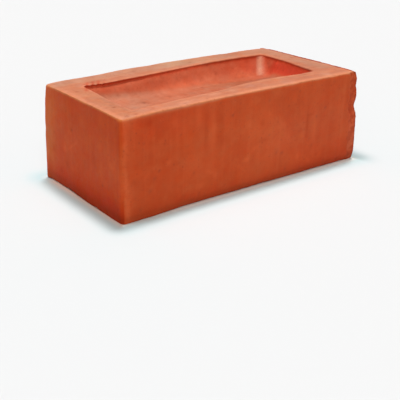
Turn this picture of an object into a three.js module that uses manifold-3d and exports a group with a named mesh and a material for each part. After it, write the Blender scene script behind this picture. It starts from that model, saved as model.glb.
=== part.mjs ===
// A solid pressed clay brick with one frog.
//
// Millimetres, +Z up. The origin is on the ground under the middle of the brick:
// X runs along the stretchers, Y across the bed, and the frog faces up.
//
//   -X  header, smooth from the mould
//   +X  header, torn and lumpy
//   -Y, +Y  stretchers
//   Z = 0 lower bed, Z = HEIGHT upper bed, with the frog sunk in it

import * as THREE from 'three';
import * as BufferGeometryUtils from 'three/addons/utils/BufferGeometryUtils.js';
import Module from 'manifold-3d';

// ---------------------------------------------------------------- dimensions

// outside
const LENGTH = 230;
const WIDTH = 110;
const HEIGHT = 76;

// arrises
const UPRIGHT_RADIUS = 3.2;   // the two upright edges of the smooth header, in plan
const TORN_EDGE_RADIUS = 1.4; // the two upright edges of the torn header, in plan
const BED_EDGE_RISE = 1.3;    // how far up or down a stretcher the bed edge is rounded
const BED_EDGE_RUN = 1.5;     // how far in on the bed it is rounded
const BED_EDGE_STEPS = 3;
const UPRIGHT_STEPS = 5;      // chords in each upright edge

// frog, at the upper bed
const FROG_X = [-95.4, 86];
// its two long edges, as points along the brick: the frog sits a little askew, and its back edge bows out past half way
const FROG_AT_X = [-95.4, -70, -45, -20, 5, 30, 50, 68, 86];
const FROG_FRONT_Y = [-38.6, -38.2, -37.9, -36.6, -33.3, -32.4, -34, -35.8, -34.4];
const FROG_BACK_Y = [28.6, 27.3, 28.1, 30.2, 32.7, 34.5, 34.7, 34.3, 33.4];
const FROG_LEAN = 5;          // how much nearer the smooth header the front of its torn end is than the back
const FROG_DEPTH = 15;
const FROG_CORNER_STEPS = 6;
const FROG_LONG_STOPS = 17;   // points between the corners of a long edge
const FROG_SHORT_STOPS = 3;   // the same, of a short one
// depth below the bed, how far the wall has come in, and the corner's radius in plan
const FROG_WALL = [
  [0.0, 0.0, 3.0],
  [1.5, 0.2, 3.5],
  [4.8, 1.4, 5.3],
  [9.2, 3.3, 6.8],
  [11.9, 5.1, 7.6],
  [13.7, 7.5, 8.3],
  [14.8, 10.8, 8.9],
  [FROG_DEPTH, 12.6, 9.2],
];

// torn header
const TORN_CELLS_Y = 24;
const TORN_CELLS_Z = 17;
const TORN_MEAN = 2.5;        // mean depth of the torn face behind the brick's full length
const TORN_LEAN = 3.2;        // how much further back the face is at the upper bed than at the lower
const TORN_MAX = 6.0;         // deepest hollow
const TORN_SPARE = 0.6;       // clay past the full length before the header is torn

// --------------------------------------------------------------- plan shapes

// A rectangle with round corners, as a closed three.js shape. The corners at x1 may have a radius of their own.
function roundedRectangle(x0, x1, y0, y1, r0, r1 = r0) {
  const s = new THREE.Shape();
  s.moveTo(x0 + r0, y0);
  s.lineTo(x1 - r1, y0);
  s.absarc(x1 - r1, y0 + r1, r1, -Math.PI / 2, 0, false);
  s.lineTo(x1, y1 - r1);
  s.absarc(x1 - r1, y1 - r1, r1, 0, Math.PI / 2, false);
  s.lineTo(x0 + r0, y1);
  s.absarc(x0 + r0, y1 - r0, r0, Math.PI / 2, Math.PI, false);
  s.lineTo(x0, y0 + r0);
  s.absarc(x0 + r0, y0 + r0, r0, Math.PI, 1.5 * Math.PI, false);
  return s;
}

// Its outline as points, without the repeats where a side meets an arc.
function outline(shape, steps) {
  const points = [];
  for (const p of shape.getPoints(steps)) {
    const last = points[points.length - 1];
    if (last && last.distanceTo(p) < 1e-6) continue;
    points.push(p);
  }
  if (points[0].distanceTo(points[points.length - 1]) < 1e-6) points.pop();
  return points;
}

// The same outline with evenly spaced points added along its long and short sides.
function withStops(points, long, short) {
  const out = [];
  points.forEach((p, i) => {
    const q = points[(i + 1) % points.length];
    const stops = Math.abs(q.x - p.x) > 60 ? long : Math.abs(q.y - p.y) > 20 ? short : 0;
    for (let k = 0; k <= stops; k++) out.push(p.clone().lerp(q, k / (stops + 1)));
  });
  return out;
}

// A value read off a line through points.
function along(xs, ys, x) {
  let k = 0;
  while (k < xs.length - 2 && x > xs[k + 1]) k++;
  return THREE.MathUtils.mapLinear(THREE.MathUtils.clamp(x, xs[0], xs[xs.length - 1]), xs[k], xs[k + 1], ys[k], ys[k + 1]);
}

// ------------------------------------------------------------------ solids

// A closed solid through a stack of outlines that all have the same number of points, lowest first.
function loft(rings) {
  const n = rings[0].points.length;
  const position = [];
  for (const ring of rings) for (const p of ring.points) position.push(p.x, p.y, ring.z);
  const index = [];
  for (let k = 0; k + 1 < rings.length; k++) {
    for (let i = 0; i < n; i++) {
      const a = k * n + i;
      const b = k * n + ((i + 1) % n);
      index.push(a, b, b + n, a, b + n, a + n);
    }
  }
  const top = (rings.length - 1) * n;
  for (const [a, b, c] of THREE.ShapeUtils.triangulateShape(rings[0].points, [])) index.push(a, c, b);
  for (const [a, b, c] of THREE.ShapeUtils.triangulateShape(rings[rings.length - 1].points, [])) index.push(top + a, top + b, top + c);
  const g = new THREE.BufferGeometry();
  g.setAttribute('position', new THREE.Float32BufferAttribute(position, 3));
  g.setIndex(index);
  return g;
}

// The outside of the brick: full size between the bed edges, and drawn in round both beds.
// It runs a little past +X, where the torn header then ends it.
function outside() {
  const rings = [];
  const ring = (z, inset) =>
    rings.push({
      z,
      points: outline(
        roundedRectangle(
          -LENGTH / 2 + inset,
          LENGTH / 2 + TORN_SPARE - inset,
          -WIDTH / 2 + inset,
          WIDTH / 2 - inset,
          UPRIGHT_RADIUS - inset * 0.6,
          TORN_EDGE_RADIUS - inset * 0.3
        ),
        UPRIGHT_STEPS
      ),
    });
  for (let k = 0; k <= BED_EDGE_STEPS; k++) {
    const t = (k / BED_EDGE_STEPS) * (Math.PI / 2);
    ring(BED_EDGE_RISE * (1 - Math.cos(t)), BED_EDGE_RUN * (1 - Math.sin(t)));
  }
  for (let k = BED_EDGE_STEPS; k >= 0; k--) {
    const t = (k / BED_EDGE_STEPS) * (Math.PI / 2);
    ring(HEIGHT - BED_EDGE_RISE * (1 - Math.cos(t)), BED_EDGE_RUN * (1 - Math.sin(t)));
  }
  return loft(rings);
}

// The frog, as the solid that presses it: flat at the bottom, with a short steep lip at the bed,
// walls that lean in a little, and a tight hollow curve into the floor.
function frog() {
  const mean = (ys) => ys.reduce((sum, y) => sum + y, 0) / ys.length;
  const front = mean(FROG_FRONT_Y);
  const back = mean(FROG_BACK_Y);
  // moves a point of the straight outline to where the askew one has it
  const askew = (p) => {
    const across = (p.y - front) / (back - front);
    const y = THREE.MathUtils.lerp(along(FROG_AT_X, FROG_FRONT_Y, p.x), along(FROG_AT_X, FROG_BACK_Y, p.x), across);
    const torn = THREE.MathUtils.smoothstep((p.x - FROG_X[0]) / (FROG_X[1] - FROG_X[0]), 0.6, 1);
    return new THREE.Vector2(p.x - FROG_LEAN * torn * (1 - THREE.MathUtils.smoothstep(across, -0.02, 0.62)), y);
  };
  const rings = FROG_WALL.map(([depth, inset, radius]) => ({
    z: HEIGHT - depth,
    points: withStops(
      outline(roundedRectangle(FROG_X[0] + inset, FROG_X[1] - inset, front + inset, back - inset, radius), FROG_CORNER_STEPS),
      FROG_LONG_STOPS,
      FROG_SHORT_STOPS
    ).map(askew),
  })).reverse();
  const mouth = rings[rings.length - 1];
  rings.push({ z: HEIGHT + 3, points: mouth.points });
  return loft(rings);
}

// Depth of the torn header behind the full length, at a place on that face.
// Ridges left as the clay tore run across the face, with lumps between them.
function tornDepth(y, z) {
  const ridge = Math.sin(z * 0.36 + 0.9 * Math.sin(y * 0.071 + 0.4) + 0.3) * 0.85;
  const lump = Math.sin(y * 0.21 + 1.7 * Math.sin(z * 0.13)) * Math.cos(z * 0.27 + 0.6 * Math.sin(y * 0.17 + 2.1)) * 0.9;
  const grit = Math.sin(y * 1.13 + z * 0.71) * Math.sin(z * 1.37 - y * 0.53 + 1.1) * 0.55;
  const lean = TORN_LEAN * (z / HEIGHT - 0.5);
  return THREE.MathUtils.clamp(TORN_MEAN + ridge + lump + grit + lean, 0, TORN_MAX);
}

// What the torn header lacks: a slab past the brick's end whose inner side is that rough face.
function tornAway() {
  const over = 6;
  const thick = 12;
  const g = new THREE.BoxGeometry(thick, WIDTH + 2 * over, HEIGHT + 2 * over, 1, TORN_CELLS_Y, TORN_CELLS_Z);
  g.translate(LENGTH / 2 + thick / 2, 0, HEIGHT / 2);
  const p = g.attributes.position;
  for (let i = 0; i < p.count; i++) {
    if (p.getX(i) < LENGTH / 2 + 1e-3) p.setX(i, LENGTH / 2 - tornDepth(p.getY(i), p.getZ(i)));
  }
  return g;
}

// ------------------------------------------------------------- joins and cuts

const wasm = await Module();
wasm.setup();

function solid(geometry) {
  let g = geometry.clone();
  g.deleteAttribute('normal');
  g.deleteAttribute('uv');
  g = BufferGeometryUtils.mergeVertices(g, 1e-4);
  return new wasm.Manifold(
    new wasm.Mesh({
      numProp: 3,
      vertProperties: new Float32Array(g.attributes.position.array),
      triVerts: new Uint32Array(g.index.array),
    })
  );
}

function geometryOf(manifold) {
  const mesh = manifold.getMesh();
  const g = new THREE.BufferGeometry();
  g.setAttribute('position', new THREE.Float32BufferAttribute(mesh.vertProperties, 3));
  g.setIndex(Array.from(mesh.triVerts));
  g.computeVertexNormals();
  return g;
}

// ------------------------------------------------------------------- the brick

const body = solid(outside()).subtract(solid(frog())).subtract(solid(tornAway()));

const clay = new THREE.MeshStandardMaterial({
  name: 'fired_clay',
  color: new THREE.Color().setRGB(0.72, 0.3, 0.17, THREE.SRGBColorSpace),
  roughness: 0.85,
  metalness: 0,
});

const brick = new THREE.Mesh(geometryOf(body), clay);
brick.name = 'brick';

const part = new THREE.Group();
part.name = 'clay_brick';
part.add(brick);

export default part;
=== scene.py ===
import math

import bpy
import numpy as np
from mathutils import Matrix


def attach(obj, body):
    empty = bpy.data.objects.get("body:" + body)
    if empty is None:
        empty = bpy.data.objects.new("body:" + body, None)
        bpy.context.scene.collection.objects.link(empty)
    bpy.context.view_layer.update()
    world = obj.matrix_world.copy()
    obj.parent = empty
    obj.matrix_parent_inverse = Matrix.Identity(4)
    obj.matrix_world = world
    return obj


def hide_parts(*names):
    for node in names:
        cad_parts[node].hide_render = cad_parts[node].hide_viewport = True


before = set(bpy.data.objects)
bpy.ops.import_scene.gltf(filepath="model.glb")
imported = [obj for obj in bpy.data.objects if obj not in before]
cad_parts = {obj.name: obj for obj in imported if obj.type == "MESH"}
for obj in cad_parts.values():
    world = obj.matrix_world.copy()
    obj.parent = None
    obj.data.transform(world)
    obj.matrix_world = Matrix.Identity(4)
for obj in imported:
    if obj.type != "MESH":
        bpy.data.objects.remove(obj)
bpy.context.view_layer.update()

# ------------------------------------------------------------------ the brick's sizes, mm
HALF_L, HALF_W, HEIGHT = 115.0, 55.0, 76.0
FROG_X = (-95.4, 86.0)
# the frog's two long edges, as points along the brick: it lies askew, and its far edge bows out past half way
FROG_AT = (-95.5, -70.0, -45.0, -20.0, 5.0, 30.0, 50.0, 68.0, 86.0)
FROG_FRONT = (-38.6, -38.2, -37.9, -36.6, -33.3, -32.4, -34.0, -35.8, -34.4)
FROG_BACK = (28.6, 27.3, 28.1, 30.2, 32.7, 34.5, 34.7, 34.3, 33.4)
# how far its two short edges lean out and in towards the front
FROG_LEFT, FROG_RIGHT = 0.0, -5.0
FROG_DEPTH = 15.0
MM = 0.001


# ------------------------------------------------------------------ noise
class Perlin:
    """Gradient noise in three dimensions, about -1 to 1."""

    def __init__(self, seed):
        r = np.random.RandomState(seed)
        self.perm = np.concatenate([r.permutation(256)] * 3)
        g = r.normal(size=(256, 3))
        self.grad = g / np.linalg.norm(g, axis=1)[:, None]
        self.jit = r.rand(256, 3)

    def hash(self, i, j, k):
        p = self.perm
        return p[p[p[i & 255] + (j & 255)] + (k & 255)]

    def __call__(self, p):
        p = np.asarray(p, float)
        i = np.floor(p).astype(int)
        f = p - i
        u = f * f * f * (f * (f * 6 - 15) + 10)
        out = np.zeros(len(p))
        for a in (0, 1):
            wa = u[:, 0] if a else 1 - u[:, 0]
            for b in (0, 1):
                wb = u[:, 1] if b else 1 - u[:, 1]
                for c in (0, 1):
                    wc = u[:, 2] if c else 1 - u[:, 2]
                    h = self.hash(i[:, 0] + a, i[:, 1] + b, i[:, 2] + c)
                    out += wa * wb * wc * (self.grad[h] * (f - (a, b, c))).sum(1)
        return out * 1.7

    def fbm(self, p, octaves=4, gain=0.5):
        p = np.asarray(p, float)
        out, amp, norm = np.zeros(len(p)), 1.0, 0.0
        for k in range(octaves):
            out += amp * self(p * 2.03 ** k + 17.3 * k)
            norm += amp
            amp *= gain
        return out / norm

    def cells(self, p):
        """Distances to the nearest and second nearest of a jittered lattice of points."""
        p = np.asarray(p, float)
        i = np.floor(p).astype(int)
        best = np.full(len(p), 9.0)
        second = np.full(len(p), 9.0)
        for a in (-1, 0, 1):
            for b in (-1, 0, 1):
                for c in (-1, 0, 1):
                    n = i + (a, b, c)
                    q = n + self.jit[self.hash(n[:, 0], n[:, 1], n[:, 2])]
                    d = np.linalg.norm(q - p, axis=1)
                    second = np.minimum(second, np.maximum(best, d))
                    best = np.minimum(best, d)
        return best, second


big, mid, fine, lumps = Perlin(11), Perlin(23), Perlin(37), Perlin(53)


def smooth(lo, hi, x):
    t = np.clip((x - lo) / (hi - lo), 0, 1)
    return t * t * (3 - 2 * t)


def hump(x, centre, width):
    return np.exp(-(((x - centre) / width) ** 2))


def columns(*c):
    return np.column_stack(np.broadcast_arrays(*c))


# ------------------------------------------------------------------ one loop of points round the brick
ARC = 8           # steps in each round corner
LONG = 164        # steps along a stretcher
SHORT = 84        # steps along a header


def spaced(n, density):
    """n+1 fractions from 0 to 1, closer together where density is high."""
    t = np.linspace(0, 1, 4001)
    c = np.concatenate([[0], np.cumsum((density(t[1:]) + density(t[:-1])) / 2)])
    return np.interp(np.linspace(0, c[-1], n + 1), c, t)


# the stretchers' steps close up towards the torn header and beside the smooth one
T_LONG = spaced(LONG, lambda t: 1.0 + 1.1 * smooth(0.90, 0.97, t) + 1.3 * smooth(0.12, 0.09, t))
T_SHORT = spaced(SHORT, lambda t: 1.0 + 0.35 * smooth(0.08, 0.0, t) + 0.35 * smooth(0.92, 1.0, t))


def loop(x0, x1, y0, y1, r00, r10, r11, r01):
    """Points counterclockwise round a rectangle with round corners, from the middle of the first corner's arc."""
    out = []

    def arc(cx, cy, r, a0, a1, n):
        for k in range(n):
            a = a0 + (a1 - a0) * k / n
            out.append((cx + r * math.cos(a), cy + r * math.sin(a)))

    def line(ax, ay, bx, by, ts):
        for t in ts[:-1]:
            out.append((ax + (bx - ax) * t, ay + (by - ay) * t))

    q = math.pi / 4
    arc(x0 + r00, y0 + r00, r00, 5 * q, 6 * q, ARC // 2)
    line(x0 + r00, y0, x1 - r10, y0, T_LONG)
    arc(x1 - r10, y0 + r10, r10, 6 * q, 8 * q, ARC)
    line(x1, y0 + r10, x1, y1 - r11, T_SHORT)
    arc(x1 - r11, y1 - r11, r11, 0, 2 * q, ARC)
    line(x1 - r11, y1, x0 + r01, y1, 1 - T_LONG[::-1])
    arc(x0 + r01, y1 - r01, r01, 2 * q, 4 * q, ARC)
    line(x0, y1 - r01, x0, y0 + r00, 1 - T_SHORT[::-1])
    arc(x0 + r00, y0 + r00, r00, 4 * q, 5 * q, ARC // 2)
    return np.array(out)


N = 2 * (LONG + SHORT) + 4 * ARC
NX, NY = LONG + ARC, SHORT + ARC          # a grid whose rim is that loop

R_NEAR, R_FAR, R_TORN = 3.3, 2.3, 1.4     # plan radii of the upright edges


def outline(inset):
    """The brick's outline drawn in by inset."""
    k = inset * 0.55
    return loop(-HALF_L + inset, HALF_L - inset, -HALF_W + inset, HALF_W - inset,
                max(R_NEAR - k, .6), max(R_TORN - k, .4), max(R_TORN - k, .4), max(R_FAR - k, .6))


def frog_outline(inset, radius, sweep=0.0):
    """The frog's outline drawn in by inset; sweep carries the foot of the far wall forward towards the torn end."""
    y0, y1 = -30.0, 30.0
    p = loop(FROG_X[0] + inset, FROG_X[1] - inset, y0 + inset, y1 - inset, radius, radius, radius, radius)
    across = (p[:, 1] - y0) / (y1 - y0)
    front = np.interp(p[:, 0], FROG_AT, FROG_FRONT)
    back = np.interp(p[:, 0], FROG_AT, FROG_BACK) - sweep * smooth(-20.0, 50.0, p[:, 0]) * smooth(0.45, 0.9, across)
    at = (p[:, 0] - FROG_X[0]) / (FROG_X[1] - FROG_X[0])
    p[:, 0] += FROG_LEFT * smooth(0.3, 0.0, at) * smooth(0.95, 0.35, across) + FROG_RIGHT * smooth(0.6, 1.0, at) * smooth(0.62, -0.02, across)
    p[:, 1] = front + (back - front) * across
    return p


# ------------------------------------------------------------------ rows of loops, from under the brick to the frog's floor
LOWER, SIDES, UPPER, WALL, FLOOR = range(5)
rows, kind, dist = [], [], []


def row(xy, z, k, d):
    rows.append(np.column_stack([xy, np.broadcast_to(z, len(xy))]))
    kind.append(k)
    dist.append(d)


for e in (6.0, 4.2, 3.0, 2.1, 1.4, 0.9, 0.5, 0.2):
    row(outline(e), 0.0, LOWER, e)
edge_z = [0.0, 0.3, 0.7, 1.2, 1.8, 2.6]
for h in edge_z + list(np.linspace(2.6, HEIGHT - 2.6, 59)[1:-1]) + [HEIGHT - h for h in edge_z[::-1]]:
    row(outline(0.0), h, SIDES, 0.0)
for e in (0.2, 0.5, 0.9, 1.4, 2.0, 2.8):
    row(outline(e), HEIGHT, UPPER, e)
mouth = frog_outline(-1.5, 3.4)
a = outline(2.8)
STEPS = 13
for k in range(1, STEPS + 1):
    t = k / STEPS
    row(a + (mouth - a) * t, HEIGHT, UPPER, 2.8 + 18 * t)
# depth below the bed, how far the wall has come in, plan radius, sweep: a round lip, the wall, then a wide hollow curve
PROFILE = [(0.07, -0.85, 3.2, 0), (0.28, -0.35, 3.1, 0), (0.62, -0.05, 3.1, 0), (1.05, 0.05, 3.2, 0), (1.5, 0.2, 3.5, 0), (2.1, 0.4, 3.9, 0),
           (2.8, 0.65, 4.3, 0), (3.7, 1.0, 4.8, 0), (4.8, 1.4, 5.3, 0.2), (6.2, 1.95, 5.8, 0.5), (7.7, 2.6, 6.3, 0.9), (9.2, 3.35, 6.8, 1.4),
           (10.6, 4.15, 7.2, 2.0), (11.9, 5.1, 7.6, 2.6), (12.9, 6.2, 8.0, 3.2), (13.7, 7.5, 8.3, 3.7), (14.35, 9.0, 8.6, 4.1),
           (14.8, 10.8, 8.9, 4.4), (FROG_DEPTH, 12.6, 9.2, 4.6)]
for depth, inset, radius, sweep in PROFILE:
    row(frog_outline(inset, radius, sweep), HEIGHT - depth, WALL, depth)

P = np.array(rows)
R = len(P)


def inside(ring):
    """The inner points of a grid whose rim is this loop, by blending its four sides."""
    s0 = ring[: NX + 1]
    s1 = ring[NX: NX + NY + 1]
    s2 = ring[NX + NY: 2 * NX + NY + 1][::-1]
    s3 = np.concatenate([ring[2 * NX + NY:], ring[:1]])[::-1]
    u = (0.5 * (s0 + s2))[:, 0]
    u = (u - u[0]) / (u[-1] - u[0])
    v = (0.5 * (s1 + s3))[:, 1]
    v = (v - v[0]) / (v[-1] - v[0])
    U, V = u[:, None, None], v[None, :, None]
    g = ((1 - V) * s0[:, None] + V * s2[:, None] + (1 - U) * s3[None] + U * s1[None]
         - (1 - U) * (1 - V) * s0[0] - U * (1 - V) * s0[-1] - (1 - U) * V * s2[0] - U * V * s2[-1])
    return g[1:-1, 1:-1].reshape(-1, 3)


under, floor_pts = inside(P[0]), inside(P[-1])
flat = np.concatenate([P.reshape(-1, 3), under, floor_pts])     # before any shaping
kind = np.concatenate([np.repeat(kind, N), np.full(len(under), LOWER), np.full(len(floor_pts), FLOOR)])
dist = np.concatenate([np.repeat(np.array(dist, float), N), np.full(len(under), 9.0), np.full(len(floor_pts), FROG_DEPTH)])

i = np.arange(N)
quads = []
for r in range(R - 1):
    lo_, hi_ = r * N + i, r * N + (i + 1) % N
    quads.append(np.column_stack([lo_, hi_, hi_ + N, lo_ + N]))


def grid_faces(ring_start, inner_start, flip):
    idx = np.empty((NX + 1, NY + 1), int)
    ring = ring_start + np.arange(N)
    idx[:, 0] = ring[: NX + 1]
    idx[NX, :] = ring[NX: NX + NY + 1]
    idx[:, NY] = ring[NX + NY: 2 * NX + NY + 1][::-1]
    idx[0, :] = np.concatenate([ring[2 * NX + NY:], ring[:1]])[::-1]
    idx[1:-1, 1:-1] = inner_start + np.arange((NX - 1) * (NY - 1)).reshape(NX - 1, NY - 1)
    f = np.stack([idx[:-1, :-1], idx[1:, :-1], idx[1:, 1:], idx[:-1, 1:]], -1).reshape(-1, 4)
    return f[:, ::-1] if flip else f


quads.append(grid_faces(0, R * N, True))
quads.append(grid_faces((R - 1) * N, R * N + len(under), False))
quads = np.concatenate(quads)


def normals(p):
    n = np.zeros_like(p)
    fn = np.cross(p[quads[:, 2]] - p[quads[:, 0]], p[quads[:, 3]] - p[quads[:, 1]])
    for k in range(4):
        np.add.at(n, quads[:, k], fn)
    return n / np.maximum(np.linalg.norm(n, axis=1), 1e-12)[:, None]


def ring_normal(ring):
    """Outward directions in plan of a loop, for every row; none for the two grids."""
    t = np.roll(ring, -1, 0) - np.roll(ring, 1, 0)
    t /= np.linalg.norm(t, axis=1)[:, None]
    out = np.zeros((len(flat), 2))
    out[: R * N] = np.tile(np.column_stack([t[:, 1], -t[:, 0]]), (R, 1))
    return out


v = flat.copy()
lower, side, upper, wall, floor_ = (kind == k for k in range(5))
skin = kind <= UPPER
top_half = flat[:, 2] > HEIGHT / 2
X, Y, Z = flat.T
outward = ring_normal(outline(0.0))

# ------------------------------------------------------------------ the beds' edges: rounded, and worn more in some places
radius = 1.2 + 0.4 * mid.fbm(flat / 13.0, 3) + 0.45 * np.clip(fine(flat / 4.0), 0, 1)
near_corner = np.exp(-(((X + HALF_L) / 22.0) ** 2 + ((Y + HALF_W) / 17.0) ** 2))
radius += np.where(top_half, 1.4 * near_corner, -0.6 * near_corner)
radius += top_half * (Y > 40) * 2.0 * hump(X, -84.0, 30.0)
radius -= ~top_half * 0.35
radius -= top_half * (X < -100) * 0.4 * hump(Y, 25.0, 25.0)
for cx, cy, cz, deep, wide in [(-62, -55, 76, 1.6, 6), (38, -55, 76, 1.0, 5), (84, -55, 76, 1.3, 4), (-115, -6, 76, 1.2, 6), (-20, 55, 76, 1.4, 7),
                               (61, 55, 76, 1.9, 6), (12, -55, 0, 1.5, 7), (-115, 20, 0, 1.6, 6), (-50, 55, 0, 2.4, 9), (75, 55, 0, 1.7, 6),
                               (70, -55, 0, 1.2, 6), (-115, -20, 0, 1.0, 4)]:
    d = np.linalg.norm(flat - (cx, cy, cz), axis=1)
    radius += deep * np.exp(-(d / wide) ** 2) * (0.8 + 0.4 * fine(flat / 1.9))
for cx, cy, much in ((-HALF_L, HALF_W, 0.1), (HALF_L, HALF_W, 0.8), (HALF_L, -HALF_W, 0.4)):
    radius += top_half * much * np.exp(-(((X - cx) / 7.0) ** 2 + ((Y - cy) / 7.0) ** 2))
radius = np.clip(radius, 0.45, 4.6)

# every point within a radius of the edge, on either face, is moved on to the arc
dw = np.where(side, 0.0, dist)
dz = np.where(side, np.where(top_half, HEIGHT - Z, Z), 0.0)
ra, rb = radius - dw, radius - dz
hit = skin & (ra > 0) & (rb > 0)
length = np.maximum(np.hypot(ra, rb), 1e-9)
new_w = np.where(hit, radius - ra * radius / length, dw)
new_z = np.where(hit, radius - rb * radius / length, dz)
v[:, :2] -= (new_w - dw)[:, None] * outward
v[:, 2] += np.where(top_half, -1.0, 1.0) * (new_z - dz)
from_edge = np.where(side, dz, np.where(skin, dist, 99.0))

# ------------------------------------------------------------------ torn header
def torn_depth(y, z):
    ridge = np.sin(z * 0.36 + 0.9 * np.sin(y * 0.071 + 0.4) + 0.3) * 0.85
    lump = np.sin(y * 0.21 + 1.7 * np.sin(z * 0.13)) * np.cos(z * 0.27 + 0.6 * np.sin(y * 0.17 + 2.1)) * 0.9
    return 2.5 + ridge + lump + 3.2 * (z / HEIGHT - 0.5)


y, z = v[:, 1], v[:, 2]
face = columns(3.0, y, z)
f1, f2 = lumps.cells(face / (9.0, 7.5, 5.5))
g1, g2 = lumps.cells(face[:, [0, 2, 1]] / (5.0, 2.9, 3.6) + 31.7)
depth = torn_depth(y, z) + 1.5 * (f1 - 0.45) + 0.7 * (g1 - 0.45) + 0.45 * mid.fbm(face / 3.2, 3) + 0.9 * smooth(0.10, 0.0, f2 - f1)
# along the near upright edge: proud lumps with a notch half way up, and clay that stands almost full below it
EDGE_Z = (0, 4, 8, 12, 16, 20, 24, 28, 33, 38, 41, 44, 48, 52, 55, 58, 61, 64, 67, 70, 73, 76)
EDGE_D = (0.1, 0.1, 0.1, 0.2, 0.2, 0.2, 0.4, 0.5, 0.6, 0.8, 1.5, 3.2, 4.6, 2.9, 2.3, 2.4, 2.8, 4.0, 3.6, 3.0, 3.1, 4.2)
close = hump(y, -HALF_W, 9.0)
depth = depth * (1 - close) + (np.interp(z, EDGE_Z, EDGE_D) + 0.3 * mid.fbm(face / 2.6, 2)) * close
# the end of the bed stays nearly straight
bed_end = 0.75 * smooth(7.0, 0.0, HEIGHT - z)
depth = depth * (1 - bed_end) + (4.1 + 0.7 * smooth(0.0, 40.0, y) + 0.5 * mid.fbm(face / 9.0, 2)) * bed_end
depth = np.clip(depth, 0.05, 7.0)
pull = smooth(HALF_L - 15.0, HALF_L, X) * skin
v[:, 0] -= depth * pull

# the skin beside the torn header has come away: a shallow, lumpy strip on the stretchers, less of it on the beds
from_end = (HALF_L - depth) - v[:, 0]
strip = 9.0 + 1.6 * mid.fbm(columns(4.0, y * 0.3, z) / 6.0, 3)
on_side = smooth(strip, strip - 1.3, from_end) * side
q1, _ = lumps.cells(v / (4.4, 4.4, 4.0) + 8.1)
rough = np.clip(0.55 + 0.9 * (q1 - 0.35) + 0.55 * mid.fbm(v / 2.4, 2) + 0.25 * smooth(2.0, 0.0, from_end), 0.05, 1.9)
stretcher = side & (np.abs(np.abs(Y) - HALF_W) < 0.02)
v[:, 1] -= np.where(stretcher, np.sign(Y) * rough * 0.9 * on_side, 0.0)
strip_bed = 3.4 + 1.6 * mid.fbm(v / 7.0 + 5.0, 2)
on_bed = smooth(strip_bed, strip_bed - 1.6, from_end) * (upper | lower)
v[:, 2] -= np.where(upper, (0.2 + 0.4 * np.clip(rough, 0, 1.3)) * on_bed, 0.0)
v[:, 2] += np.where(lower, (0.15 + 0.3 * np.clip(rough, 0, 1.3)) * on_bed, 0.0)
end_face = skin & (np.abs(X - HALF_L) < 1.5)
torn = np.clip(np.maximum(end_face * 1.0, np.maximum(on_side, on_bed)), 0, 1)

# ------------------------------------------------------------------ frog: overhanging lip, wandering walls, uneven floor
frog_out = ring_normal(frog_outline(0.0, 3.2))
far_side = (Y > 15) & (kind >= UPPER)
comb = np.zeros(len(v))         # where a tool dragged clay over the far lip, near the smooth header
for cx, wd, am in ((-89.4, 1.0, 0.8), (-84.8, 1.0, 1.0), (-79.7, 1.1, 0.8), (-74.9, 1.1, 0.35)):
    comb = np.maximum(comb, am * hump(X, cx, wd))
comb *= far_side
over = 0.62 - 0.14 * smooth(-50.0, -20.0, X) + 0.3 * mid(columns(X / 24.0, Y / 24.0, 2.0)) + 0.75 * hump(X, -82.0, 30.0) * far_side - 0.15 * smooth(0.0, 60.0, X)
shape = np.interp(dist, [0.0, 0.6, 1.05, 1.5, 2.1, 2.8, 3.7, 4.8, 6.2], [0, 0, 0.45, 0.85, 1.0, 0.95, 0.62, 0.25, 0.0]) * wall
v[:, :2] += (over * shape * (1 - 0.5 * comb))[:, None] * frog_out
wander = 0.35 * mid.fbm(columns(X / 16.0, Y / 16.0, 7.0), 3) + 0.12 * fine(columns(X / 3.0, Y / 3.0, 1.0))
at_lip = np.interp(dist, [0, 0.75, 1.9, 4.8], [1, 1, 0.7, 0]) * wall + upper * smooth(17.5, 20.8, dist)
v[:, :2] += ((wander - 0.5 * comb) * at_lip)[:, None] * frog_out
v[:, 2] -= comb * at_lip * 0.15
# towards the near left the lip is worn away, and the rim runs down into the frog
worn_lip = np.maximum(smooth(-30.0, -80.0, X), 0.55 * smooth(35.0, -20.0, X)) * smooth(22.0, -12.0, Y)
rim_in = np.where(upper, np.clip(20.8 - dist, 0, None), np.where(wall, 0.0, 99.0))
v[:, 2] -= worn_lip * np.where(upper, 1.5 * smooth(7.0, 0.0, rim_in), 1.5 * smooth(6.0, 0.0, dist) * wall)
down = wall * smooth(9.0, FROG_DEPTH, dist) + floor_
v[:, 2] += down * (0.4 * mid.fbm(flat / 26.0 + 3.0, 3) - 0.3 * X / 94.0)

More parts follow.
